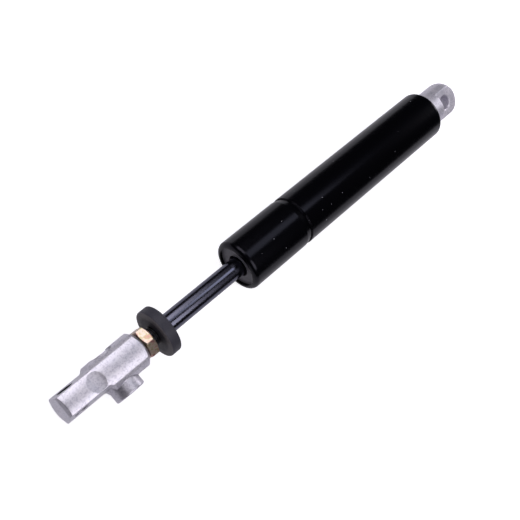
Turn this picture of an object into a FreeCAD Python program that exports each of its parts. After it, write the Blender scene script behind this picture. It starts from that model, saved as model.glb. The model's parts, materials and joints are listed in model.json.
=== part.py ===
import FreeCAD, Part
import math
import os

import Sketcher

# A lockable gas spring with a rotary release head, lying along X.
# The origin is the centre of the rear eye's hole, +X points along the spring to the release head,
# and +Z is the upper side of the release head. The spring is drawn extended. Sizes are millimetres.

DIMENSIONS = {
    # Pressure tube
    "tube_outer": 28.0,
    "tube_wall": 1.5,
    "tube_length": 155.4,
    "eye_to_tube": 14.4,
    "front_roll": 2.5,
    "front_lip_bore": 22.4,
    "rear_roll": 2.0,
    "rear_lip_bore": 20.3,
    "groove_setback": 42.3,
    "groove_depth": 0.6,
    "groove_floor": 0.6,
    "groove_slope": 3.4,
    "groove_back": 0.8,
    # Fits shared by all pieces
    "seat_clearance": 0.05,
    "running_clearance": 0.06,
    "slide_clearance": 0.3,
    "stop_gap": 0.4,
    # Guide and seal pack at the front of the tube
    "cap_length": 14.0,
    "cap_mouth": 12.2,
    "cap_mouth_depth": 3.2,
    "cap_bore": 16.0,
    "wiper_length": 2.8,
    "seal_length": 5.0,
    "seal_lip_depth": 2.4,
    "seal_lip_gap": 2.2,
    "washer_thickness": 1.6,
    "washer_bore": 11.0,
    "sleeve_bore": 21.0,
    # O-rings
    "ring_section": 2.0,
    # Piston rod with its threaded and its spigot end
    "rod_outer": 10.0,
    "rod_bore": 3.2,
    "thread_core": 9.0,
    "thread_length": 24.0,
    "rod_end_chamfer": 0.6,
    "spigot_outer": 8.0,
    "spigot_length": 22.0,
    "valve_bore": 5.2,
    "valve_bore_depth": 17.0,
    # Piston and release valve
    "piston_length": 16.0,
    "piston_neck": 18.0,
    "piston_neck_length": 4.0,
    "piston_edge": 0.8,
    "band_length": 4.0,
    "band_depth": 2.2,
    "port_diameter": 2.0,
    "port_count": 4.0,
    "piston_nut_flats": 13.0,
    "piston_nut_height": 5.0,
    "stem_diameter": 3.8,
    "stem_head": 6.8,
    "stem_head_height": 1.5,
    "stem_groove": 2.6,
    "valve_ring_section": 1.0,
    "valve_ring_setback": 5.0,
    "pin_diameter": 2.5,
    # Floating piston between oil and gas
    "float_setback": 24.0,
    "float_length": 12.0,
    "float_cup_bore": 16.0,
    "float_cup_depth": 7.0,
    # Rubber bumper and jam nut
    "bumper_outer": 25.6,
    "bumper_thickness": 5.8,
    "bumper_edge": 0.9,
    "bumper_setback": 49.0,
    "nut_flats": 14.0,
    "nut_height": 6.3,
    "nut_face": 11.4,
    "nut_turn": -6.8,
    "thread_show": 2.7,
    # Release head casting
    "head_length": 46.2,
    "head_width": 18.6,
    "head_height": 16.0,
    "head_arch": 16.0,
    "arch_width": 11.4,
    "shoulder_height": 0.2,
    "head_lower_edge": 1.2,
    "head_back_face": 14.4,
    "tang_width": 12.1,
    "tang_offset": 0.63,
    "tang_spread": 0.94,
    "step_start": 23.2,
    "step_length": 4.9,
    "boss_step_lead": 3.5,
    "nose_corner": 1.8,
    "nose_overhang": 0.4,
    "nose_dome": 0.7,
    "nose_lean": 0.72,
    "nose_bevel_length": 1.45,
    "nose_bevel_drop": 2.05,
    "head_eye_setback": 7.8,
    "head_eye_bore": 8.1,
    "boss_position": 16.0,
    "boss_drop": 2.4,
    "boss_outer": 15.4,
    "boss_reach": 13.8,
    "boss_edge": 0.7,
    "spot_face": 14.0,
    "thread_engaged": 10.4,
    "recess_start": 23.0,
    "recess_curve": 3.8,
    "recess_floor": 1.8,
    "recess_slope": 3.3,
    "recess_depth": 0.8,
    # Release shaft, its retaining pin and the set screw
    "shaft_diameter": 8.4,
    "shaft_recess": 0.6,
    "shaft_flat": 2.4,
    "shaft_flat_length": 6.0,
    "shaft_edge": 0.5,
    "socket_flats": 5.0,
    "socket_depth": 7.0,
    "retainer_diameter": 2.5,
    "retainer_position": 6.4,
    "retainer_above": 3.0,
    "retainer_below": 6.2,
    "retainer_groove": 1.3,
    "screw_position": 5.7,
    "screw_diameter": 5.0,
    "screw_sunk": 0.3,
    "screw_socket_flats": 2.5,
    "screw_socket_depth": 2.4,
    "screw_edge": 0.5,
    # Rear eye
    "eye_outer": 20.0,
    "eye_thickness": 12.6,
    "eye_end": 10.6,
    "eye_end_corner": 7.5,
    "eye_bore": 8.2,
    "eye_hole_edge": 0.4,
    "eye_flat_start": 6.0,
    "eye_flat_corner": 1.5,
    "eye_shank_length": 9.5,
    "eye_turn": -27.8,
}

ROOT_3 = math.sqrt(3)
CUT_MARGIN = 1.0

doc = FreeCAD.newDocument("GasSpring")
sheet = doc.addObject("Spreadsheet::Sheet", "Dims")


class Size:
    """A length with the formula that ties it to the sheet."""

    def __init__(self, value, formula):
        self.value = value
        self.formula = formula

    @staticmethod
    def of(other):
        if isinstance(other, Size):
            return other
        return Size(float(other), repr(float(other)))

    def joined(self, sign, other, value):
        return Size(value, f"({self.formula} {sign} {other.formula})")

    def __add__(self, other):
        other = Size.of(other)
        return self.joined("+", other, self.value + other.value)

    def __sub__(self, other):
        other = Size.of(other)
        return self.joined("-", other, self.value - other.value)

    def __mul__(self, other):
        other = Size.of(other)
        return self.joined("*", other, self.value * other.value)

    def __truediv__(self, other):
        other = Size.of(other)
        return self.joined("/", other, self.value / other.value)

    def __radd__(self, other):
        return Size.of(other) + self

    def __rsub__(self, other):
        return Size.of(other) - self

    def __rmul__(self, other):
        return Size.of(other) * self

    def __neg__(self):
        return Size.of(0) - self

    def root(self):
        return Size(math.sqrt(self.value), f"sqrt({self.formula})")

    def lean(self):
        """The angle in degrees whose tangent this is."""
        return Size(math.degrees(math.atan(self.value)), f"atan({self.formula})")


def fill_sheet():
    """Write the driving dimensions as named cells and return them as sizes."""
    sizes = {}
    for row, (name, value) in enumerate(DIMENSIONS.items(), start=1):
        sheet.set(f"A{row}", name)
        sheet.set(f"B{row}", str(value))
        sheet.setAlias(f"B{row}", name)
        sizes[name] = Size(value, f"Dims.{name}")
    doc.recompute()
    return sizes


def bind(target, path, size):
    target.setExpression(path, Size.of(size).formula)


def new_body(label, x=0, y=0, z=0, axis=None, angle=0):
    """A sub-part with its own label, placed by formulas and turned about one axis."""
    body = doc.addObject("PartDesign::Body", label)
    body.Label = label
    turned = FreeCAD.Rotation(FreeCAD.Vector(axis or (0, 0, 1)), Size.of(angle).value)
    body.Placement = FreeCAD.Placement(FreeCAD.Vector(0, 0, 0), turned)
    if isinstance(angle, Size):
        bind(body, "Placement.Rotation.Angle", angle)
    for letter, place in zip("xyz", (x, y, z)):
        bind(body, f"Placement.Base.{letter}", place)
    return body


def new_sketch(body, name, role, offset=None):
    """A sketch on one of the body's own planes, lifted along the plane's normal by an offset."""
    sketch = body.newObject("Sketcher::SketchObject", f"{body.Label}_{name}")
    plane = next(feature for feature in body.Origin.OriginFeatures if feature.Role == role)
    sketch.AttachmentSupport = [(plane, "")]
    sketch.MapMode = "FlatFace"
    if offset is not None:
        bind(sketch, "AttachmentOffset.Base.z", offset)
    return sketch


def fix_point(sketch, edge, end, x, y):
    """Hold one point of a sketch at its formulas, or on an axis where a coordinate is zero."""
    for kind, place, axis in (("DistanceX", x, -2), ("DistanceY", y, -1)):
        if isinstance(place, Size):
            index = sketch.addConstraint(Sketcher.Constraint(kind, -1, 1, edge, end, place.value))
            bind(sketch, f"Constraints[{index}]", place)
        else:
            sketch.addConstraint(Sketcher.Constraint("PointOnObject", edge, end, axis))


def arc_between(start, end, radius, side):
    """The short arc between two points, with its centre to the left (1) or the right (-1)."""
    chord = end - start
    rise = math.sqrt(max(radius ** 2 - chord.Length ** 2 / 4, 0))
    left = FreeCAD.Vector(-chord.y, chord.x, 0).normalize()
    centre = (start + end) / 2 + left * (rise * side)
    circle = Part.Circle(centre, FreeCAD.Vector(0, 0, 1), radius)
    first, last = (start, end) if side > 0 else (end, start)
    angles = [math.atan2(point.y - centre.y, point.x - centre.x) for point in (first, last)]
    return Part.ArcOfCircle(circle, angles[0], angles[1])


def outline(sketch, corners, arcs=None):
    """A closed outline through the corners. arcs maps a corner to the radius and side of its edge."""
    arcs = arcs or {}
    points = [FreeCAD.Vector(Size.of(x).value, Size.of(y).value, 0) for x, y in corners]
    ends = []
    for index, start in enumerate(points):
        finish = points[(index + 1) % len(points)]
        if index in arcs:
            radius, side = arcs[index]
            edge = sketch.addGeometry(arc_between(start, finish, Size.of(radius).value, side))
            row = sketch.addConstraint(Sketcher.Constraint("Radius", edge, Size.of(radius).value))
            bind(sketch, f"Constraints[{row}]", radius)
            ends.append((edge, 1, 2) if side > 0 else (edge, 2, 1))
        else:
            edge = sketch.addGeometry(Part.LineSegment(start, finish))
            ends.append((edge, 1, 2))
    for index, (edge, first, last) in enumerate(ends):
        following = ends[(index + 1) % len(ends)]
        joint = Sketcher.Constraint("Coincident", edge, last, following[0], following[1])
        sketch.addConstraint(joint)
        fix_point(sketch, edge, first, *corners[index])


def ring_outline(sketch, x, y, radius):
    """A full circle held by its centre and radius."""
    centre = FreeCAD.Vector(Size.of(x).value, Size.of(y).value, 0)
    circle = Part.Circle(centre, FreeCAD.Vector(0, 0, 1), Size.of(radius).value)
    edge = sketch.addGeometry(circle)
    row = sketch.addConstraint(Sketcher.Constraint("Radius", edge, Size.of(radius).value))
    bind(sketch, f"Constraints[{row}]", radius)
    fix_point(sketch, edge, 3, x, y)


def hexagon(sketch, flats):
    """A hexagon about the origin with a corner on the sketch's vertical axis."""
    corner = flats / ROOT_3
    side = flats / 2
    outline(sketch, [(0, corner), (-side, corner / 2), (-side, -corner / 2),
                     (0, -corner), (side, -corner / 2), (side, corner / 2)])


def revolve(body, sketch):
    feature = body.newObject("PartDesign::Revolution", f"{body.Label}_turned")
    feature.Profile = sketch
    feature.ReferenceAxis = (sketch, ["H_Axis"])
    feature.Angle = 360
    sketch.Visibility = False
    return feature


def pad(body, name, sketch, length, backwards=False):
    feature = body.newObject("PartDesign::Pad", f"{body.Label}_{name}")
    feature.Profile = sketch
    bind(feature, "Length", length)
    feature.Reversed = backwards
    return feature


def cut(body, name, sketch, depth=None, backwards=False, both=False):
    """A pocket of a given depth, or right through to one side or to both sides."""
    feature = body.newObject("PartDesign::Pocket", f"{body.Label}_{name}")
    feature.Profile = sketch
    feature.Reversed = backwards
    if depth is None:
        feature.Type = "ThroughAll"
    else:
        bind(feature, "Length", depth)
    if both:
        feature.SideType = "Symmetric"
    return feature


def drafted_cut(body, name, sketch, depth, angle):
    """A pocket to both sides of its sketch whose walls lean outwards on the upper side."""
    feature = body.newObject("PartDesign::Pocket", f"{body.Label}_{name}")
    feature.Profile = sketch
    feature.SideType = "Two sides"
    for suffix, lean in (("", angle * -1), ("2", angle)):
        bind(feature, f"Length{suffix}", depth)
        bind(feature, f"TaperAngle{suffix}", lean)
    return feature


def groove(body, name, sketch, axis="H_Axis"):
    """A cut turned about one axis of its sketch."""
    feature = body.newObject("PartDesign::Groove", f"{body.Label}_{name}")
    feature.Profile = sketch
    feature.ReferenceAxis = (sketch, [axis])
    feature.Angle = 360
    return feature


def round_edges(body, name, radius, chosen):
    """Round the edges of the body's last feature that the chosen test accepts."""
    doc.recompute()
    base = body.Tip
    names = [f"Edge{number}" for number, edge in enumerate(base.Shape.Edges, start=1) if chosen(edge)]
    feature = body.newObject("PartDesign::Fillet", f"{body.Label}_{name}")
    feature.Base = (base, names)
    bind(feature, "Radius", radius)
    return feature


def turned(label, corners, arcs=None, **place):
    """A sub-part turned about its own X axis from an outline of (length, radius) corners."""
    body = new_body(label, **place)
    sketch = new_sketch(body, "profile", "XY_Plane")
    outline(sketch, corners, arcs)
    revolve(body, sketch)
    return body


def o_ring(label, x, radius, section):
    """A round-section ring whose middle circle has the given radius."""
    body = new_body(label, x=x)
    sketch = new_sketch(body, "profile", "XY_Plane")
    ring_outline(sketch, 0, radius, section / 2)
    revolve(body, sketch)
    return body


dims = fill_sheet()


def size(name):
    return dims[name]


# Places along the spring that several pieces share
tube_radius = size("tube_outer") / 2
bore_radius = tube_radius - size("tube_wall")
seat_radius = bore_radius - size("seat_clearance")
tube_front = size("eye_to_tube") + size("tube_length")
rod_radius = size("rod_outer") / 2
rod_run_radius = rod_radius + size("running_clearance")
groove_x = tube_front - size("groove_setback")
bead_front = groove_x + size("groove_floor") + size("groove_slope")
bead_rear = groove_x - size("groove_back") - size("groove_depth")
cap_front = tube_front - size("tube_wall")
cap_rear = cap_front - size("cap_length")
seal_rear = cap_rear - size("seal_length")
washer_rear = seal_rear - size("washer_thickness")
piston_front = bead_rear - size("stop_gap")
piston_rear = piston_front - size("piston_length")
spigot_end = piston_front - size("spigot_length")
bumper_rear = tube_front + size("bumper_setback")
bumper_front = bumper_rear + size("bumper_thickness")
nut_rear = bumper_front + size("thread_show")
head_rear = nut_rear + size("nut_height")
rod_end = head_rear + size("thread_engaged")
thread_start = rod_end - size("thread_length")
shaft_x = head_rear + size("boss_position")
shaft_radius = size("shaft_diameter") / 2
head_half_width = size("head_width") / 2
head_half_height = size("head_height") / 2
ring_half = size("ring_section") / 2
ring_radius = seat_radius - ring_half
ring_floor = ring_radius - ring_half - size("seat_clearance")
ring_channel = size("ring_section") + size("stop_gap")


def pressure_tube():
    """Tube with a rolled-over mouth, a rolled groove and a rear edge closed over the eye's shank."""
    wall = size("tube_wall")
    length = size("tube_length")
    front_roll = size("front_roll")
    rear_roll = size("rear_roll")
    front_lip = size("front_lip_bore") / 2
    rear_lip = size("rear_lip_bore") / 2
    edge = groove_x - size("eye_to_tube")
    floor_end = edge + size("groove_floor")
    slope_end = floor_end + size("groove_slope")
    valley = tube_radius - size("groove_depth")
    bead = bore_radius - size("groove_depth")
    corners = [
        (0, rear_lip), (0, tube_radius - rear_roll), (rear_roll, tube_radius),
        (edge, tube_radius), (edge, valley), (floor_end, valley), (slope_end, tube_radius),
        (length - front_roll, tube_radius), (length, tube_radius - front_roll), (length, front_lip),
        (length - wall, front_lip), (length - wall, tube_radius - front_roll),
        (length - front_roll, bore_radius), (slope_end, bore_radius), (floor_end, bead),
        (edge - size("groove_back"), bead), (bead_rear - size("eye_to_tube"), bore_radius),
        (rear_roll, bore_radius), (wall, tube_radius - rear_roll), (wall, rear_lip),
    ]
    arcs = {
        1: (rear_roll, -1),
        7: (front_roll, -1),
        11: (front_roll - wall, 1),
        17: (rear_roll - wall, 1),
    }
    turned("pressure_tube", corners, arcs, x=size("eye_to_tube"))


def channel(start, floor, rim):
    """Corners of an O-ring channel in an outside wall, going up in length."""
    return [(start, rim), (start, floor), (start + ring_channel, floor), (start + ring_channel, rim)]


def guide_pack():
    """Front cap, wiper, bush, lip seal, washer and spacer sleeve, stacked behind the rolled mouth."""
    length = size("cap_length")
    mouth = size("cap_mouth") / 2
    bore = size("cap_bore") / 2
    edge = size("front_roll") - size("tube_wall")
    step = length - size("cap_mouth_depth")
    start = (length - ring_channel) / 2
    corners = [(0, bore), (0, seat_radius)]
    corners += channel(start, ring_floor, seat_radius)
    corners += [(length - edge, seat_radius), (length, seat_radius - edge), (length, mouth),
                (step, mouth), (step, bore)]
    turned("guide_cap", corners, x=cap_rear)
    o_ring("guide_o_ring", cap_rear + length / 2, ring_radius, size("ring_section"))

    insert_radius = bore - size("seat_clearance")
    wiper = size("wiper_length")
    lip = rod_run_radius + wiper / 2
    turned("rod_wiper", [(0, lip), (0, insert_radius), (wiper, insert_radius), (wiper, lip),
                         (wiper, rod_run_radius), (wiper / 2, rod_run_radius)],
           x=cap_rear + step - wiper)
    bush = step - wiper
    turned("guide_bush", [(0, rod_run_radius), (0, insert_radius), (bush, insert_radius),
                          (bush, rod_run_radius)], x=cap_rear)

    seal = size("seal_length")
    gap = size("seal_lip_gap")
    depth = size("seal_lip_depth")
    middle = (rod_run_radius + seat_radius) / 2
    turned("rod_seal", [(0, rod_run_radius), (0, middle - gap), (depth, middle), (0, middle + gap),
                        (0, seat_radius), (seal, seat_radius), (seal, rod_run_radius)], x=seal_rear)

    washer = size("washer_thickness")
    hole = size("washer_bore") / 2
    turned("seal_washer", [(0, hole), (0, seat_radius), (washer, seat_radius), (washer, hole)],
           x=washer_rear)
    sleeve = washer_rear - bead_front
    inside = size("sleeve_bore") / 2
    turned("spacer_sleeve", [(0, inside), (0, seat_radius), (sleeve, seat_radius), (sleeve, inside)],
           x=bead_front)


def piston_rod():
    """Hollow rod: a spigot for the piston, the polished shank and the threaded end for the head."""
    bore = size("rod_bore") / 2
    valve_bore = size("valve_bore") / 2
    spigot = size("spigot_outer") / 2
    core = size("thread_core") / 2
    chamfer = size("rod_end_chamfer")
    shoulder = size("spigot_length")
    valve_end = size("valve_bore_depth")
    thread = thread_start - spigot_end
    length = rod_end - spigot_end
    body = turned("piston_rod", [
        (0, valve_bore), (0, spigot), (shoulder, spigot), (shoulder, rod_radius),
        (thread, rod_radius), (thread, core), (length - chamfer, core), (length, core - chamfer),
        (length, bore), (valve_end, bore), (valve_end, valve_bore)], x=spigot_end)
    port_x = shoulder - size("piston_neck_length") / 2 - size("piston_edge")
    sketch = new_sketch(body, "port", "XY_Plane")
    ring_outline(sketch, port_x, 0, size("port_diameter") / 2)
    cut(body, "ports", sketch, both=True)


def piston_unit():
    """Piston with its sealing band, the nut behind it and the release valve in the rod's spigot."""
    length = size("piston_length")
    outer = bore_radius - size("slide_clearance")
    inner = size("spigot_outer") / 2 + size("seat_clearance")
    edge = size("piston_edge")
    neck_x = length - size("piston_neck_length")
    neck = size("piston_neck") / 2
    band = size("band_length") + size("slide_clearance")
    band_start = (neck_x - band) / 2
    floor = outer - size("band_depth")
    body = turned("piston", [
        (0, inner), (0, outer - edge), (edge, outer), (band_start, outer), (band_start, floor),
        (band_start + band, floor), (band_start + band, outer), (neck_x - edge, outer),
        (neck_x, outer - edge), (neck_x, neck), (length, neck), (length, inner)], x=piston_rear)
    port_x = length - size("piston_neck_length") / 2 - edge
    sketch = new_sketch(body, "port", "XY_Plane")
    ring_outline(sketch, port_x, 0, size("port_diameter") / 2)
    hole = cut(body, "port", sketch)
    pattern = body.newObject("PartDesign::PolarPattern", "piston_ports")
    pattern.Originals = [hole]
    pattern.Axis = (sketch, ["H_Axis"])
    pattern.Angle = 360
    bind(pattern, "Occurrences", size("port_count"))
    body.Tip = pattern

    rim = bore_radius - size("seat_clearance")
    inside = floor + size("seat_clearance")
    width = size("band_length")
    gap = size("slide_clearance") / 2
    turned("piston_band", [(0, inside), (0, rim), (width, rim), (width, inside)],
           x=piston_rear + band_start + gap)

    nut = new_body("piston_nut", x=piston_rear - size("piston_nut_height"))
    hexed_nut(nut, size("piston_nut_flats"), size("piston_nut_height"),
              size("piston_nut_flats"), size("spigot_outer") / 2 + size("seat_clearance"))


def hexed_nut(body, flats, height, face, bore):
    """Hexagon nut with a corner up, both faces turned to a cone outside the face circle."""
    sketch = new_sketch(body, "hexagon", "YZ_Plane")
    hexagon(sketch, flats)
    pad(body, "prism", sketch, height)
    corner = flats / ROOT_3 + CUT_MARGIN
    rise = (corner - face / 2) / ROOT_3
    cones = new_sketch(body, "cones", "XY_Plane")
    outline(cones, [(0, face / 2), (0, corner), (rise, corner)])
    outline(cones, [(height, face / 2), (height - rise, corner), (height, corner)])
    groove(body, "cone_cut", cones)
    hole = new_sketch(body, "hole", "YZ_Plane")
    ring_outline(hole, 0, 0, bore)
    cut(body, "bore", hole, backwards=True)


def release_train():
    """Valve stem, its ring and the long pin that reaches through the rod to the release shaft."""
    stem = size("stem_diameter") / 2
    head = size("stem_head") / 2
    head_height = size("stem_head_height")
    gap = size("slide_clearance")
    ring_floor_radius = size("stem_groove") / 2
    section = size("valve_ring_section")
    length = head_height + gap + size("valve_bore_depth") - size("stop_gap")
    ring_x = head_height + gap + size("valve_ring_setback")
    stem_x = spigot_end - gap - head_height
    half = section / 2 + size("seat_clearance")
    turned("valve_stem", [
        (0, 0), (0, head), (head_height, head), (head_height, stem), (ring_x - half, stem),
        (ring_x - half, ring_floor_radius), (ring_x + half, ring_floor_radius), (ring_x + half, stem),
        (length, stem), (length, 0)], x=stem_x)
    ring_middle = ring_floor_radius + size("seat_clearance") + section / 2
    o_ring("valve_o_ring", stem_x + ring_x, ring_middle, section)

    pin_x = stem_x + length
    radius = size("pin_diameter") / 2
    tip = shaft_x - size("shaft_flat") - size("stop_gap") / 2 - pin_x
    turned("release_pin", [(0, 0), (0, radius), (tip - radius, radius), (tip, 0)],
           {2: (radius, -1)}, x=pin_x)


def floating_piston():
    """Cup-shaped piston between the oil and the gas, with its O-ring."""
    length = size("float_length")
    outer = bore_radius - size("slide_clearance")
    edge = size("piston_edge")
    cup = size("float_cup_bore") / 2
    depth = size("float_cup_depth")
    start = (length - ring_channel) / 2
    place = size("eye_to_tube") + size("float_setback")
    corners = [(depth, 0), (depth, cup), (0, cup), (0, outer - edge), (edge, outer)]
    corners += channel(start, ring_floor, outer)
    corners += [(length - edge, outer), (length, outer - edge), (length, 0)]
    turned("floating_piston", corners, x=place)
    o_ring("floating_o_ring", place + length / 2, ring_radius, size("ring_section"))


def bumper():
    """Rubber stop disc on the rod, rounded at both rims."""
    thickness = size("bumper_thickness")
    outer = size("bumper_outer") / 2
    edge = size("bumper_edge")
    bore = rod_radius + size("seat_clearance")
    turned("rubber_bumper", [
        (0, bore), (0, outer - edge), (edge, outer), (thickness - edge, outer),
        (thickness, outer - edge), (thickness, bore)],
        {1: (edge, -1), 3: (edge, -1)}, x=bumper_rear)


def jam_nut():
    """Thin nut that locks the release head on the rod's thread."""
    body = new_body("jam_nut", x=nut_rear, axis=(1, 0, 0), angle=size("nut_turn"))
    hexed_nut(body, size("nut_flats"), size("nut_height"), size("nut_face"),
              size("thread_core") / 2 + size("seat_clearance"))


def head_section(sketch):
    """Arched top, rounded shoulders, flat flanks and a flat underside with rounded corners."""
    arch_end = size("arch_width") / 2
    arch = size("head_arch")
    low = head_half_height - arch + (arch * arch - arch_end * arch_end).root()
    flat = size("shoulder_height")
    reach = head_half_width - arch_end
    rise = low - flat
    shoulder = (reach * reach + rise * rise) / (reach * 2)
    edge = size("head_lower_edge")
    foot = edge - head_half_height
    outline(sketch, [
        (arch_end, low), (-arch_end, low), (-head_half_width, flat), (-head_half_width, foot),
        (edge - head_half_width, -head_half_height), (head_half_width - edge, -head_half_height),
        (head_half_width, foot), (head_half_width, flat)],
        {0: (arch, 1), 1: (shoulder, 1), 3: (edge, 1), 5: (edge, 1), 7: (shoulder, 1)})


def tang_outline(sketch, beyond, wide):
    """What is cut from both flanks: a double bend in to the tang, then straight to the tip."""
    run = size("step_length")
    boss_start = size("step_start") - size("boss_step_lead")
    for side, start, offset in ((1, boss_start, -size("tang_offset")),
                                (-1, size("step_start"), size("tang_offset"))):
        middle = start + run / 2
        flank = size("tang_width") / 2 + offset
        drop = head_half_width - flank
        bend = (run * run + drop * drop) / (drop * 4)
        outline(sketch, [
            (start, wide * side), (start, head_half_width * side), (middle, (flank + drop / 2) * side),
            (start + run, flank * side), (beyond, flank * side), (beyond, wide * side)],
            {1: (bend, -side), 2: (bend, side)})


def nose_outline(sketch, beyond, wide):
    """What is cut from the tip to leave it slightly domed between corners that run out into the flanks."""
    half = size("tang_width") / 2 + size("tang_spread") + size("nose_overhang")
    left = half - size("tang_offset")
    right = half + size("tang_offset")
    dome = size("nose_dome")
    corner = size("nose_corner")
    chord = half - corner
    bow = (chord * chord + dome * dome) / (dome * 2)
    shoulder = size("head_length") - dome
    outline(sketch, [
        (shoulder - corner, left), (shoulder, left - corner), (shoulder, corner - right),
        (shoulder - corner, -right), (shoulder - corner, -wide), (beyond, -wide), (beyond, wide),
        (shoulder - corner, wide)], {0: (corner, -1), 1: (bow, -1), 2: (corner, -1)})


def release_head():
    """Die-cast head: bar with a tang and cross hole, shaft barrel, shaft bore and threaded socket."""
    body = new_body("release_head", x=head_rear)
    length = size("head_length")
    section = new_sketch(body, "section", "YZ_Plane")
    head_section(section)
    pad(body, "bar", section, length)
    back = size("head_back_face") / 2
    slope = head_half_width + head_half_height - back
    cone = new_sketch(body, "back_cone", "XY_Plane")
    outline(cone, [(0, back), (0, back + slope), (slope, back + slope)])
    groove(body, "back_cone_cut", cone)

    spread = size("tang_spread")
    high = head_half_height + CUT_MARGIN
    wide = head_half_width + (spread + CUT_MARGIN) * 2
    beyond = length + spread + CUT_MARGIN
    flanks = new_sketch(body, "flanks", "XY_Plane")
    tang_outline(flanks, beyond, wide)
    drafted_cut(body, "tang", flanks, high, (spread / head_half_height).lean())
    tip = new_sketch(body, "tip", "XY_Plane")
    nose_outline(tip, beyond, wide)
    cut(body, "rounded_tip", tip, both=True)

    face_x = length - size("nose_lean")
    bevel_x = face_x - size("nose_bevel_length")
    nose = new_sketch(body, "nose", "XZ_Plane")
    outline(nose, [
        (bevel_x, high), (bevel_x, head_half_height),
        (face_x, head_half_height - size("nose_bevel_drop")), (length, -head_half_height),
        (length, -high), (beyond, -high), (beyond, high)])
    cut(body, "leaning_nose", nose, both=True)

    boss_x = size("boss_position")
    boss_z = -size("boss_drop")
    barrel_start = head_half_width - size("shaft_recess")
    boss = new_sketch(body, "boss", "XZ_Plane", barrel_start)
    ring_outline(boss, boss_x, boss_z, size("boss_outer") / 2)
    pad(body, "shaft_barrel", boss, barrel_start + size("boss_reach"), backwards=True)
    round_edges(body, "boss_edge", size("boss_edge"),
                lambda edge: all(abs(vertex.Point.y - size("boss_reach").value) < size("boss_edge").value
                                 for vertex in edge.Vertexes))
    spot = new_sketch(body, "spot", "XZ_Plane", barrel_start)
    ring_outline(spot, boss_x, boss_z, size("spot_face") / 2)
    cut(body, "spot_face", spot, backwards=True)

    holes = new_sketch(body, "cross_holes", "XZ_Plane")
    ring_outline(holes, length - size("head_eye_setback"), 0, size("head_eye_bore") / 2)
    ring_outline(holes, boss_x, boss_z, shaft_radius + size("running_clearance"))
    cut(body, "cross_bores", holes, both=True)

    socket = new_sketch(body, "socket", "YZ_Plane")
    ring_outline(socket, 0, 0, size("thread_core") / 2 + size("seat_clearance"))
    cut(body, "thread_socket", socket, size("thread_engaged") + size("slide_clearance"), backwards=True)
    passage = new_sketch(body, "passage", "YZ_Plane")
    ring_outline(passage, 0, 0, size("rod_bore") / 2)
    cut(body, "pin_passage", passage, size("boss_position"), backwards=True)

    screw = new_sketch(body, "screw_hole", "XZ_Plane")
    ring_outline(screw, size("screw_position"), 0, size("screw_diameter") / 2 + size("seat_clearance"))
    cut(body, "set_screw_hole", screw)

    retainer = new_sketch(body, "retainer", "XY_Plane", size("retainer_above"))
    ring_outline(retainer, size("boss_position") + retainer_offset(), -size("retainer_position"),
                 size("retainer_diameter") / 2 + size("seat_clearance"))
    cut(body, "retainer_hole", retainer)

    depth = size("recess_depth")
    curve = size("recess_curve")
    floor = head_half_height - depth
    near = size("recess_start")
    foot = near + curve
    far = foot + size("recess_floor")
    bow = (curve * curve + depth * depth) / (depth * 2)
    recess = new_sketch(body, "recess", "XZ_Plane")
    outline(recess, [
        (near, head_half_height), (foot, floor), (far, floor),
        (far + size("recess_slope"), head_half_height), (far + size("recess_slope"), high), (near, high)],
        {0: (bow, 1)})
    cut(body, "top_recess", recess, both=True)


def retainer_offset():
    """Distance of the retaining pin from the release shaft's axis, with the pin in the shaft's groove."""
    groove_radius = shaft_radius - size("retainer_groove")
    return groove_radius + size("retainer_diameter") / 2 + size("running_clearance")


def release_shaft():
    """Cross shaft whose flat lets the release pin out and whose round side pushes it in."""
    low = head_half_width - size("shaft_recess")
    high = size("boss_reach") - size("shaft_recess")
    length = low + high
    edge = size("shaft_edge")
    floor = shaft_radius - size("retainer_groove")
    half = size("retainer_diameter") / 2 + size("running_clearance")
    groove_middle = low - size("retainer_position")
    body = turned("release_shaft", [
        (0, 0), (0, shaft_radius - edge), (edge, shaft_radius), (groove_middle - half, shaft_radius),
        (groove_middle - half, floor), (groove_middle + half, floor),
        (groove_middle + half, shaft_radius), (length - edge, shaft_radius),
        (length, shaft_radius - edge), (length, 0)],
        x=shaft_x, y=-low, z=-size("boss_drop"), axis=(0, 0, 1), angle=90)
    flat_half = size("shaft_flat_length") / 2
    beyond = shaft_radius + CUT_MARGIN
    flat = new_sketch(body, "flat", "XY_Plane")
    outline(flat, [(low - flat_half, size("shaft_flat")), (low + flat_half, size("shaft_flat")),
                   (low + flat_half, beyond), (low - flat_half, beyond)])
    cut(body, "cam_flat", flat, both=True)
    socket = new_sketch(body, "socket", "YZ_Plane", length)
    hexagon(socket, size("socket_flats"))
    cut(body, "hex_socket", socket, size("socket_depth"))


def head_fasteners():
    """Retaining pin of the release shaft and the set screw that locks the head on the thread."""
    pin_length = size("retainer_above") + size("retainer_below") - size("slide_clearance")
    radius = size("retainer_diameter") / 2
    turned("shaft_retaining_pin", [(0, 0), (0, radius), (pin_length, radius), (pin_length, 0)],
           x=shaft_x + retainer_offset(), y=-size("retainer_position"), z=-size("retainer_below"),
           axis=(0, 1, 0), angle=-90)

    foot = size("thread_core") / 2 + size("seat_clearance")
    length = head_half_width - size("screw_sunk") - foot
    edge = size("screw_edge")
    outer = size("screw_diameter") / 2
    body = turned("set_screw", [
        (0, 0), (0, outer - edge), (edge, outer), (length - edge, outer), (length, outer - edge),
        (length, 0)], x=head_rear + size("screw_position"), y=foot, axis=(0, 0, 1), angle=90)
    socket = new_sketch(body, "socket", "YZ_Plane", length)
    hexagon(socket, size("screw_socket_flats"))
    cut(body, "hex_socket", socket, size("screw_socket_depth"))


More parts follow.
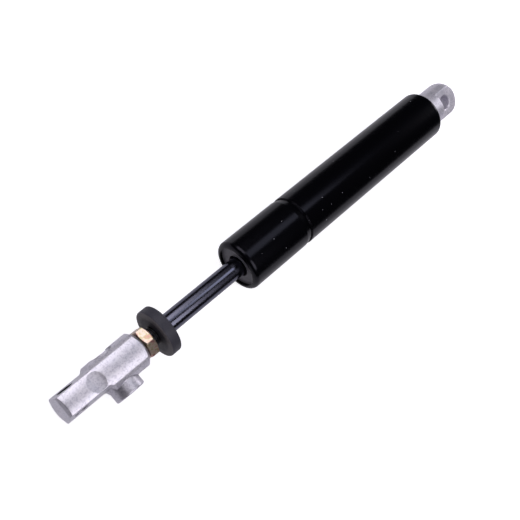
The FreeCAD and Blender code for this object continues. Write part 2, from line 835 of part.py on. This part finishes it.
def rear_eye():
    """Cast eye: sealed shank inside the tube, round neck and a flat-sided tongue with the cross hole."""
    radius = size("eye_outer") / 2
    shank_start = size("eye_to_tube") + size("tube_wall")
    shank_end = shank_start + size("eye_shank_length")
    start = shank_start + (size("eye_shank_length") - ring_channel) / 2
    edge = size("rear_roll") - size("tube_wall")
    body = new_body("rear_eye", axis=(1, 0, 0), angle=size("eye_turn"))
    profile = new_sketch(body, "profile", "XY_Plane")
    tip = size("eye_end")
    tip_corner = size("eye_end_corner")
    corners = [(-tip, 0), (-tip, radius - tip_corner), (tip_corner - tip, radius), (shank_start, radius),
               (shank_start, seat_radius - edge), (shank_start + edge, seat_radius)]
    corners += channel(start, ring_floor, seat_radius)
    corners += [(shank_end, seat_radius), (shank_end, 0)]
    outline(profile, corners, {1: (tip_corner, -1)})
    revolve(body, profile)

    face = size("eye_thickness") / 2
    flat_end = size("eye_flat_start")
    corner = size("eye_flat_corner")
    high = radius + CUT_MARGIN
    beyond = -tip - CUT_MARGIN
    flats = new_sketch(body, "flats", "XZ_Plane")
    for side in (1, -1):
        outline(flats, [
            (beyond, face * side), (flat_end - corner, face * side), (flat_end, (face + corner) * side),
            (flat_end, high * side), (beyond, high * side)], {1: (corner, side)})
    cut(body, "tongue_flats", flats, both=True)
    bore = size("eye_bore") / 2
    hole = new_sketch(body, "hole", "XY_Plane")
    ring_outline(hole, 0, 0, bore)
    cut(body, "cross_hole", hole, both=True)
    sink = size("eye_hole_edge")
    for name, side in (("upper_sink", 1), ("lower_sink", -1)):
        cone = new_sketch(body, name, "XZ_Plane")
        rim = (face - sink) * side
        above = (face + CUT_MARGIN) * side
        outline(cone, [(0, rim), (bore, rim), (bore + sink + CUT_MARGIN, above), (0, above)])
        groove(body, f"{name}_cut", cone, "V_Axis")
    o_ring("eye_o_ring", start + ring_channel / 2, ring_radius, size("ring_section"))


def check_model():
    """Stop if a feature failed, a cut removed nothing or a sub-part is not one valid solid."""
    doc.recompute()
    for item in doc.Objects:
        if "Invalid" in item.State or "Error" in item.State:
            raise RuntimeError(f"{item.Label} failed: {item.State}")
    bodies = [item for item in doc.Objects if item.TypeId == "PartDesign::Body"]
    for body in bodies:
        for feature in body.Group:
            if feature.TypeId in ("PartDesign::Pocket", "PartDesign::Groove"):
                if feature.Shape.Volume >= feature.BaseFeature.Shape.Volume:
                    raise RuntimeError(f"{feature.Label} cuts nothing")
        if body.Shape.isNull() or not body.Shape.isValid() or len(body.Shape.Solids) != 1:
            raise RuntimeError(f"{body.Label} is not one valid solid")
    return bodies


pressure_tube()
guide_pack()
piston_rod()
piston_unit()
release_train()
floating_piston()
bumper()
jam_nut()
release_head()
release_shaft()
head_fasteners()
rear_eye()

os.makedirs("parts", exist_ok=True)
for sub_part in check_model():
    sub_part.Shape.exportStep(os.path.join("parts", f"{sub_part.Label}.step"))
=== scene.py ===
import json
import math

import bmesh
import bpy
from mathutils import Matrix, Vector


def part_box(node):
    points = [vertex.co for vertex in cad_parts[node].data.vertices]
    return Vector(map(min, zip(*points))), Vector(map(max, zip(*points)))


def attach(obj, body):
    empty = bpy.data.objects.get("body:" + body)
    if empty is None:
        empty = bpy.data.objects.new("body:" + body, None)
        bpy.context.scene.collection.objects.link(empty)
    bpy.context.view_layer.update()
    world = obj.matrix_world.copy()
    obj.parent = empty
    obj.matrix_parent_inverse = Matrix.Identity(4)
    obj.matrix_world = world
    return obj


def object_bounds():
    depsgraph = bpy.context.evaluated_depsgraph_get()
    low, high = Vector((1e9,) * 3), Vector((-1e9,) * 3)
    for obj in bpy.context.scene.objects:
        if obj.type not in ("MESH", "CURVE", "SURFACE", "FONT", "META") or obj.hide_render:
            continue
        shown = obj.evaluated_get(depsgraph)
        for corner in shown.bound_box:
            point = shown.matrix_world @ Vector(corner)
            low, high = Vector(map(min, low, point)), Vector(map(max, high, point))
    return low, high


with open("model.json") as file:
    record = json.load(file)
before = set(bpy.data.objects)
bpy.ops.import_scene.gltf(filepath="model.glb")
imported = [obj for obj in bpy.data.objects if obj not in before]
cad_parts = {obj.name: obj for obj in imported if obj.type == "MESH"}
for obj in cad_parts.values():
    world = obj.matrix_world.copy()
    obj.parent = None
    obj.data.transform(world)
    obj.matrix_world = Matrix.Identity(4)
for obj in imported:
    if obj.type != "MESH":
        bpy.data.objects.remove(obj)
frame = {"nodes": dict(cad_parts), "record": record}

MM = 0.001
MOUNTS = {mount["name"]: mount for mount in frame["record"]["mounts"]}
cad_low, cad_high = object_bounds()

# The spring lies on the floor, turned a little about its own axis
LYING_TURN = math.radians(1.0)
ALONG = Vector((1, 0, 0))
ACROSS = Vector((0, math.cos(LYING_TURN), math.sin(LYING_TURN)))
UP = Vector((0, -math.sin(LYING_TURN), math.cos(LYING_TURN)))

# Floor: it glows for the rays that look at it, so that it shows white
FLOOR_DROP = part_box("pressure_tube")[1].z
FLOOR_LENGTH = 700 * MM
FLOOR_WIDTH = 500 * MM
FLOOR_COLOUR = (0.55, 0.54, 0.59, 1)
FLOOR_ROUGHNESS = 0.9
FLOOR_GLOW = {"Is Camera Ray": 0.80, "Is Glossy Ray": 0.30, "Is Transmission Ray": 0.30}

# Room and lamps
WHITE = (1, 1, 1, 1)
ROOM_COLOUR = (0.30, 0.30, 0.36, 1)
ROOM_STRENGTH = 0.04
SOFTBOX_COLOUR = (0.98, 0.955, 1.0)
STREAK_COLOUR = (0.84, 0.88, 1.0)
LAMP_TARGET = Vector((200 * MM, 0, 0))
REAR_EYE_CENTRE = Vector((0, 0, 0))

# Camera fitted to the photograph
LENS_MM = 57.34
SENSOR_MM = 36.0
CAMERA_CLIP_START = 10 * MM
CAMERA_PLACE = (ALONG * 348.1 + ACROSS * 4.72 + UP * 369.97) * MM
CAMERA_FORWARD = ALONG * -0.45927 + UP * -0.88830
CAMERA_DOWN = ALONG * 0.56885 + ACROSS * 0.76805 + UP * -0.29411

# Thread between the jam nut and the bumper: M10 by 1, its flats as shares of the pitch
THREAD_PITCH = 1.0 * MM
THREAD_CREST = 4.98 * MM
THREAD_ROOT = 4.40 * MM
THREAD_CREST_FLAT = 0.25
THREAD_ROOT_FLAT = 0.125
THREAD_ROWS = 48
THREAD_COLUMNS = 48

# Most of a noise texture's values lie between these two
NOISE_LOW = 0.3
NOISE_HIGH = 0.7

SURFACE_SAMPLES = 8


# Node helpers

class Look:
    """A material with one Principled shader and short ways to add texture nodes to it."""

    def __init__(self, name, **sockets):
        self.material = bpy.data.materials.new(name)
        self.material.use_nodes = True
        self.tree = self.material.node_tree
        self.shader = self.tree.nodes["Principled BSDF"]
        self.place = self.add("ShaderNodeTexCoord").outputs["Object"]
        for socket, value in sockets.items():
            self.shader.inputs[socket.replace("_", " ")].default_value = value

    def add(self, kind, **settings):
        node = self.tree.nodes.new(kind)
        for name, value in settings.items():
            setattr(node, name, value)
        return node

    def link(self, output, target):
        self.tree.links.new(output, target)

    def stretched(self, scale):
        """The place on the object, scaled along its three axes."""
        mapping = self.add("ShaderNodeMapping")
        mapping.inputs["Scale"].default_value = scale
        self.link(self.place, mapping.inputs["Vector"])
        return mapping.outputs["Vector"]

    def noise(self, scale, detail=3.0, roughness=0.55, stretch=(1, 1, 1)):
        node = self.add("ShaderNodeTexNoise")
        node.inputs["Scale"].default_value = scale
        node.inputs["Detail"].default_value = detail
        node.inputs["Roughness"].default_value = roughness
        self.link(self.stretched(stretch), node.inputs["Vector"])
        return node.outputs["Fac"]

    def specks(self, scale, radius, share):
        """White dots of that radius, in the given share of the cells of a lattice."""
        cells = self.add("ShaderNodeTexVoronoi")
        cells.inputs["Scale"].default_value = scale
        self.link(self.place, cells.inputs["Vector"])
        near = self.math("LESS_THAN", cells.outputs["Distance"], radius * scale)
        split = self.add("ShaderNodeSeparateColor")
        self.link(cells.outputs["Color"], split.inputs["Color"])
        chosen = self.math("LESS_THAN", split.outputs["Red"], share)
        return self.math("MULTIPLY", near, chosen)

    def corners(self, reach):
        """1 on open surfaces, less where another surface stands closer than that reach."""
        node = self.add("ShaderNodeAmbientOcclusion", samples=SURFACE_SAMPLES)
        node.inputs["Distance"].default_value = reach
        return node.outputs["AO"]

    def bore_distance(self, bore):
        """Distance from the axis of a bore that runs across the spring."""
        offset = self.add("ShaderNodeVectorMath", operation="SUBTRACT")
        offset.inputs[1].default_value = bore
        self.link(self.stretched((1, 0, 1)), offset.inputs[0])
        node = self.add("ShaderNodeVectorMath", operation="LENGTH")
        self.link(offset.outputs["Vector"], node.inputs[0])
        return node.outputs["Value"]

    def axis_distance(self):
        """Distance from the spring's axis."""
        node = self.add("ShaderNodeVectorMath", operation="LENGTH")
        self.link(self.stretched((0, 1, 1)), node.inputs[0])
        return node.outputs["Value"]

    def coordinate(self, axis):
        node = self.add("ShaderNodeSeparateXYZ")
        self.link(self.place, node.inputs["Vector"])
        return node.outputs[axis]

    def rise(self, value, low, high):
        """Goes from 0 at low to 1 at high."""
        node = self.add("ShaderNodeMapRange")
        node.inputs["From Min"].default_value = low
        node.inputs["From Max"].default_value = high
        self.link(value, node.inputs["Value"])
        return node.outputs["Result"]

    def math(self, operation, first, second):
        node = self.add("ShaderNodeMath", operation=operation)
        for socket, value in zip(node.inputs, (first, second)):
            if isinstance(value, (int, float)):
                socket.default_value = value
            else:
                self.link(value, socket)
        return node.outputs["Value"]

    def ramp(self, factor, stops):
        """stops are (position, colour or grey value)."""
        node = self.add("ShaderNodeValToRGB")
        elements = node.color_ramp.elements
        while len(elements) < len(stops):
            elements.new(0.5)
        for element, (position, colour) in zip(elements, stops):
            element.position = position
            grey = isinstance(colour, (int, float))
            element.color = (colour, colour, colour, 1) if grey else (*colour, 1)
        self.link(factor, node.inputs["Fac"])
        return node.outputs["Color"]

    def between(self, noise, low, high):
        """Goes from low to high with the noise."""
        return self.ramp(noise, [(NOISE_LOW, low), (NOISE_HIGH, high)])

    def mixed(self, factor, first, second):
        node = self.add("ShaderNodeMix", data_type="RGBA")
        self.link(factor, node.inputs["Factor"])
        for socket, value in ((node.inputs["A"], first), (node.inputs["B"], second)):
            if isinstance(value, tuple):
                socket.default_value = (*value, 1)
            else:
                self.link(value, socket)
        return node.outputs["Result"]

    def multiplied(self, base, shade, share):
        """The base colour times the shade, mixed in by that share."""
        node = self.add("ShaderNodeMix", data_type="RGBA", blend_type="MULTIPLY")
        node.inputs["Factor"].default_value = share
        self.link(base, node.inputs["A"])
        self.link(shade, node.inputs["B"])
        return node.outputs["Result"]

    def colour(self, output):
        self.link(output, self.shader.inputs["Base Color"])

    def roughness(self, noise, low, high):
        self.link(self.between(noise, low, high), self.shader.inputs["Roughness"])

    def bump(self, height, distance, strength=1.0, edge=0.0):
        """Small relief, over edges rounded to that radius."""
        node = self.add("ShaderNodeBump")
        node.inputs["Distance"].default_value = distance
        node.inputs["Strength"].default_value = strength
        self.link(height, node.inputs["Height"])
        if edge:
            rounded = self.add("ShaderNodeBevel", samples=SURFACE_SAMPLES)
            rounded.inputs["Radius"].default_value = edge
            self.link(rounded.outputs["Normal"], node.inputs["Normal"])
        self.link(node.outputs["Normal"], self.shader.inputs["Normal"])


# Materials

def black_paint():
    """Gloss paint with a little orange peel and a few specks of dust."""
    look = Look("black_paint", Specular_IOR_Level=0.17, Specular_Tint=(0.84, 0.82, 1.0, 1.0))
    peel = look.noise(scale=420, detail=2.0)
    drift = look.noise(scale=18, stretch=(0.3, 1, 1))
    shade = look.between(drift, low=(0.0006, 0.0006, 0.0011), high=(0.0013, 0.0013, 0.0021))
    dust = look.specks(scale=300, radius=0.18 * MM, share=0.35)
    look.colour(look.mixed(dust, shade, (0.34, 0.34, 0.37)))
    look.roughness(drift, low=0.19, high=0.23)
    look.bump(peel, distance=0.012 * MM, edge=0.4 * MM)
    return look.material


def dark_cap():
    look = Look("dark_cap", Metallic=0.35)
    grain = look.noise(scale=900, detail=4.0)
    look.colour(look.between(grain, low=(0.130, 0.124, 0.138), high=(0.180, 0.172, 0.192)))
    look.roughness(grain, low=0.45, high=0.6)
    look.bump(grain, distance=0.02 * MM)
    return look.material


def seal_rubber():
    look = Look("seal_rubber")
    grain = look.noise(scale=1600, detail=4.0)
    look.colour(look.between(grain, low=(0.020, 0.020, 0.021), high=(0.032, 0.032, 0.034)))
    look.roughness(grain, low=0.5, high=0.66)
    look.bump(grain, distance=0.02 * MM)
    return look.material


def bumper_rubber():
    """Black rubber, paler on the outer part of its front face."""
    look = Look("bumper_rubber")
    grain = look.noise(scale=1600, detail=4.0)
    cloud = look.noise(scale=90, detail=2.0)
    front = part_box("rubber_bumper")[1].x
    # The outer part of the front face is paler; the part around the thread keeps the plain dark colour.
    facing = look.rise(look.coordinate("X"), low=front - 0.6 * MM, high=front - 0.1 * MM)
    outside = look.rise(look.axis_distance(), low=8.6 * MM, high=10.4 * MM)
    plain = look.between(cloud, low=(0.015, 0.014, 0.024), high=(0.023, 0.021, 0.035))
    pale_front = look.between(cloud, low=(0.095, 0.088, 0.096), high=(0.130, 0.120, 0.128))
    look.colour(look.mixed(look.math("MULTIPLY", facing, outside), plain, pale_front))
    look.roughness(grain, low=0.5, high=0.66)
    look.bump(grain, distance=0.02 * MM)
    return look.material


def ground_rod():
    """Black nitrided steel with fine lines along the rod."""
    look = Look("ground_rod", Metallic=1.0)
    lines = look.noise(scale=430, detail=0.0, stretch=(0.008, 1, 1))
    marks = look.noise(scale=120, detail=1.0, stretch=(0.25, 1, 1))
    look.colour(look.ramp(lines, [(0.35, (0.070, 0.072, 0.098)), (0.65, (0.108, 0.110, 0.144))]))
    look.roughness(marks, low=0.18, high=0.24)
    return look.material


def black_thread():
    look = Look("black_thread", Metallic=0.4)
    grain = look.noise(scale=700)
    look.colour(look.between(grain, low=(0.010, 0.009, 0.010), high=(0.020, 0.018, 0.020)))
    look.roughness(grain, low=0.35, high=0.5)
    return look.material


def cast_aluminium(name, metallic):
    """Satin die casting: dark pores, painted shade in the corners, and painted shade on the left half of
    the tang's bore.
    """
    look = Look(name, Metallic=metallic)
    speckle = look.noise(scale=1100, detail=1.0, roughness=0.6)
    cloud = look.noise(scale=160)
    tint = look.between(cloud, low=(0.61, 0.595, 0.66), high=(0.71, 0.685, 0.74))
    pores = look.ramp(speckle, [(0.36, (0.56, 0.55, 0.62)), (0.52, (1.0, 1.0, 1.0))])
    clean = look.multiplied(tint, pores, share=0.5)
    # Painted shade: the colour darkens towards a dark grey where other surfaces stand close, in corners
    # and creases.
    unshaded_by_corners = look.rise(look.corners(reach=1.5 * MM), low=0.45, high=0.92)
    casting = look.mixed(unshaded_by_corners, (0.20, 0.195, 0.23), clean)
    # Painted shade: inside the tang's bore, the left half is coloured near black.
    bore = MOUNTS["head_eye"]
    centre = (bore["pos_m"][0], 0, bore["pos_m"][2])
    wall = bore["dims"]["r_mm"] * MM
    outside = look.rise(look.bore_distance(centre), low=wall + 0.05 * MM, high=wall + 0.3 * MM)
    right_half = look.rise(look.coordinate("Y"), low=0, high=1 * MM)
    look.colour(look.mixed(look.math("MAXIMUM", outside, right_half), (0.06, 0.058, 0.065), casting))
    look.roughness(cloud, low=0.42, high=0.52)
    look.bump(speckle, distance=0.01 * MM, strength=0.5, edge=0.5 * MM)
    return look.material


def yellow_zinc():
    """Passivated zinc, whose thin film shifts between pink, straw and olive."""
    look = Look("yellow_zinc", Metallic=1.0)
    film = look.noise(scale=300, detail=2.0, roughness=0.5)
    grain = look.noise(scale=1400)
    look.colour(look.ramp(film, [
        (0.34, (0.44, 0.22, 0.21)),
        (0.43, (0.54, 0.41, 0.31)),
        (0.50, (0.60, 0.48, 0.43)),
        (0.58, (0.42, 0.38, 0.22)),
        (0.66, (0.44, 0.26, 0.21)),
    ]))
    look.roughness(grain, low=0.30, high=0.40)
    look.bump(grain, distance=0.004 * MM, edge=0.3 * MM)
    return look.material


def machined(name, low, high, roughness, turned=False):
    """Bare metal between two colours, with rings about the spring's axis where it is turned."""
    look = Look(name, Metallic=1.0)
    marks = look.noise(scale=1200, stretch=(1, 0.05, 0.05) if turned else (1, 1, 1))
    look.colour(look.between(marks, low, high))
    look.roughness(marks, *roughness)
    look.bump(marks, distance=0.006 * MM)
    return look.material


def band_plastic():
    look = Look("band_plastic")
    grain = look.noise(scale=500)
    look.colour(look.between(grain, low=(0.13, 0.165, 0.14), high=(0.18, 0.22, 0.19)))
    look.roughness(grain, low=0.4, high=0.55)
    look.bump(grain, distance=0.01 * MM)
    return look.material


def dress_cad():
    """Every CAD node gets the material of its slot in the record, and the rear eye a less metallic copy
    of the casting, which renders brighter and stands in for more light at the rear.
    """
    looks = {
        "black_tube": black_paint(),
        "dark_cap": dark_cap(),
        "seal_rubber": seal_rubber(),
        "bronze": machined("bronze", low=(0.52, 0.35, 0.16), high=(0.68, 0.48, 0.25),
                           roughness=(0.28, 0.42), turned=True),
        "plain_steel": machined("plain_steel", low=(0.44, 0.44, 0.46), high=(0.60, 0.60, 0.62),
                                roughness=(0.26, 0.40)),
        "turned_aluminium": machined("turned_aluminium", low=(0.66, 0.66, 0.67), high=(0.78, 0.78, 0.79),
                                     roughness=(0.25, 0.4), turned=True),
        "black_rod": ground_rod(),
        "band_plastic": band_plastic(),
        "bumper_rubber": bumper_rubber(),
        "yellow_zinc": yellow_zinc(),
        "cast_aluminium": cast_aluminium("cast_aluminium", metallic=0.88),
        "black_steel": machined("black_steel", low=(0.035, 0.034, 0.036), high=(0.075, 0.073, 0.078),
                                roughness=(0.35, 0.5)),
    }
    for subpart in frame["record"]["subparts"]:
        mesh = frame["nodes"][subpart["node"]].data
        mesh.materials.clear()
        mesh.materials.append(looks[subpart["material_slot"]])
    # Painted light: the rear eye gets a less metallic copy of the casting, brighter under the same lamps,
    # in place of more light at the rear.
    eye = frame["nodes"]["rear_eye"].data
    eye.materials[0] = cast_aluminium("casting_lit_copy", metallic=0.6)


# Pieces

def thread_radius(phase):
    """Radius of a thread at that share of its pitch, with flats on crest and root."""
    rise = abs(2 * (phase % 1.0) - 1.0)
    share = (rise - THREAD_ROOT_FLAT) / (1 - THREAD_ROOT_FLAT - THREAD_CREST_FLAT)
    return THREAD_ROOT + (THREAD_CREST - THREAD_ROOT) * min(1.0, max(0.0, share))


def rod_thread():
    """The screw thread that shows between the jam nut and the rubber bumper."""
    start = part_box("rubber_bumper")[1].x
    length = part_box("jam_nut")[0].x - start
    mesh = bmesh.new()
    rings = []
    for row in range(THREAD_ROWS + 1):
        x = start + length * row / THREAD_ROWS
        ring = []
        for column in range(THREAD_COLUMNS):
            turn = column / THREAD_COLUMNS
            angle = 2 * math.pi * turn
            radius = thread_radius((x - start) / THREAD_PITCH + turn)
            ring.append(mesh.verts.new((x, radius * math.cos(angle), radius * math.sin(angle))))
        rings.append(ring)
    for lower, upper in zip(rings, rings[1:]):
        for column in range(THREAD_COLUMNS):
            after = (column + 1) % THREAD_COLUMNS
            mesh.faces.new((lower[column], upper[column], upper[after], lower[after]))
    mesh.faces.new(rings[0])
    mesh.faces.new(reversed(rings[-1]))
    bmesh.ops.recalc_face_normals(mesh, faces=mesh.faces)
    data = bpy.data.meshes.new("rod_thread")
    mesh.to_mesh(data)
    mesh.free()
    data.materials.append(black_thread())
    thread = bpy.data.objects.new("rod_thread", data)
    bpy.context.scene.collection.objects.link(thread)
    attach(thread, "rod")


# Studio

def floor_glow(tree):
    """Strength of the floor's glow by kind of ray. Diffuse rays get none, so it adds no light there."""
    path = tree.nodes.new("ShaderNodeLightPath")
    total = None
    for kind, strength in FLOOR_GLOW.items():
        share = tree.nodes.new("ShaderNodeMath")
        share.operation = "MULTIPLY_ADD"
        share.inputs[1].default_value = strength
        share.inputs[2].default_value = 0
        tree.links.new(path.outputs[kind], share.inputs[0])
        if total:
            tree.links.new(total, share.inputs[2])
        total = share.outputs["Value"]
    return total


def white_floor():
    material = bpy.data.materials.new("white_floor")
    material.use_nodes = True
    tree = material.node_tree
    shader = tree.nodes["Principled BSDF"]
    shader.inputs["Base Color"].default_value = FLOOR_COLOUR
    shader.inputs["Roughness"].default_value = FLOOR_ROUGHNESS
    shader.inputs["Emission Color"].default_value = WHITE
    tree.links.new(floor_glow(tree), shader.inputs["Emission Strength"])
    return material


def add_floor():
    """A pale board that the tube lies on."""
    centre = ALONG * (cad_low.x + cad_high.x) / 2 - UP * FLOOR_DROP
    end = ALONG * FLOOR_LENGTH / 2
    side = ACROSS * FLOOR_WIDTH / 2
    corners = [centre - end - side, centre + end - side, centre + end + side, centre - end + side]
    data = bpy.data.meshes.new("floor")
    data.from_pydata([tuple(corner) for corner in corners], [], [(0, 1, 2, 3)])
    data.materials.append(white_floor())
    floor = bpy.data.objects.new("floor", data)
    bpy.context.scene.collection.objects.link(floor)


def add_world():
    """A dim room that the camera sees as white."""
    world = bpy.data.worlds.new("studio")
    bpy.context.scene.world = world
    world.use_nodes = True
    tree = world.node_tree
    room = tree.nodes["Background"]
    room.inputs["Color"].default_value = ROOM_COLOUR
    room.inputs["Strength"].default_value = ROOM_STRENGTH
    white = tree.nodes.new("ShaderNodeBackground")
    white.inputs["Color"].default_value = WHITE
    path = tree.nodes.new("ShaderNodeLightPath")
    mix = tree.nodes.new("ShaderNodeMixShader")
    tree.links.new(path.outputs["Is Camera Ray"], mix.inputs["Fac"])
    tree.links.new(room.outputs["Background"], mix.inputs[1])
    tree.links.new(white.outputs["Background"], mix.inputs[2])
    tree.links.new(mix.outputs["Shader"], tree.nodes["World Output"].inputs["Surface"])


def add_lamp(name, place, size, power, colour, target=LAMP_TARGET):
    """A softbox aimed at the target, its place (along, across, up) and size in millimetres."""
    along, across, up = place
    location = (ALONG * along + ACROSS * across + UP * up) * MM
    direction = (target - location).normalized()
    data = bpy.data.lights.new(name, "AREA")
    data.shape = "RECTANGLE"
    data.size = size[0] * MM
    data.size_y = size[1] * MM
    data.energy = power
    data.color = colour
    lamp = bpy.data.objects.new(name, data)
    lamp.location = location
    lamp.rotation_mode = "QUATERNION"
    lamp.rotation_quaternion = direction.to_track_quat("-Z", "Y")
    bpy.context.scene.collection.objects.link(lamp)


def add_lamps():
    """Two softboxes, a faint streak on the tube that fades to the rear, and a card behind the eye."""
    add_lamp("right_softbox", place=(195, 340, 450), size=(420, 380), power=1.75, colour=SOFTBOX_COLOUR)
    add_lamp("left_softbox", place=(195, -360, 430), size=(420, 420), power=1.75, colour=SOFTBOX_COLOUR)
    add_lamp("streak_panel", place=(-80, -70, 500), size=(220, 190), power=0.26, colour=STREAK_COLOUR)
    add_lamp("streak_fade", place=(-190, -70, 500), size=(200, 70), power=0.024, colour=STREAK_COLOUR)
    add_lamp("eye_card", place=(-230, 30, 110), size=(120, 120), power=0.36, colour=SOFTBOX_COLOUR,
             target=REAR_EYE_CENTRE)


def add_camera():
    data = bpy.data.cameras.new("camera")
    data.lens = LENS_MM
    data.sensor_width = SENSOR_MM
    data.clip_start = CAMERA_CLIP_START
    camera = bpy.data.objects.new("camera", data)
    right = CAMERA_DOWN.cross(CAMERA_FORWARD).normalized()
    turn = Matrix((right, -CAMERA_DOWN, -CAMERA_FORWARD)).transposed()
    camera.matrix_world = Matrix.Translation(CAMERA_PLACE) @ turn.to_4x4()
    bpy.context.scene.collection.objects.link(camera)
    bpy.context.scene.camera = camera


dress_cad()
rod_thread()
add_floor()
add_world()
add_lamps()
add_camera()
bpy.context.scene.view_settings.view_transform = "Standard"
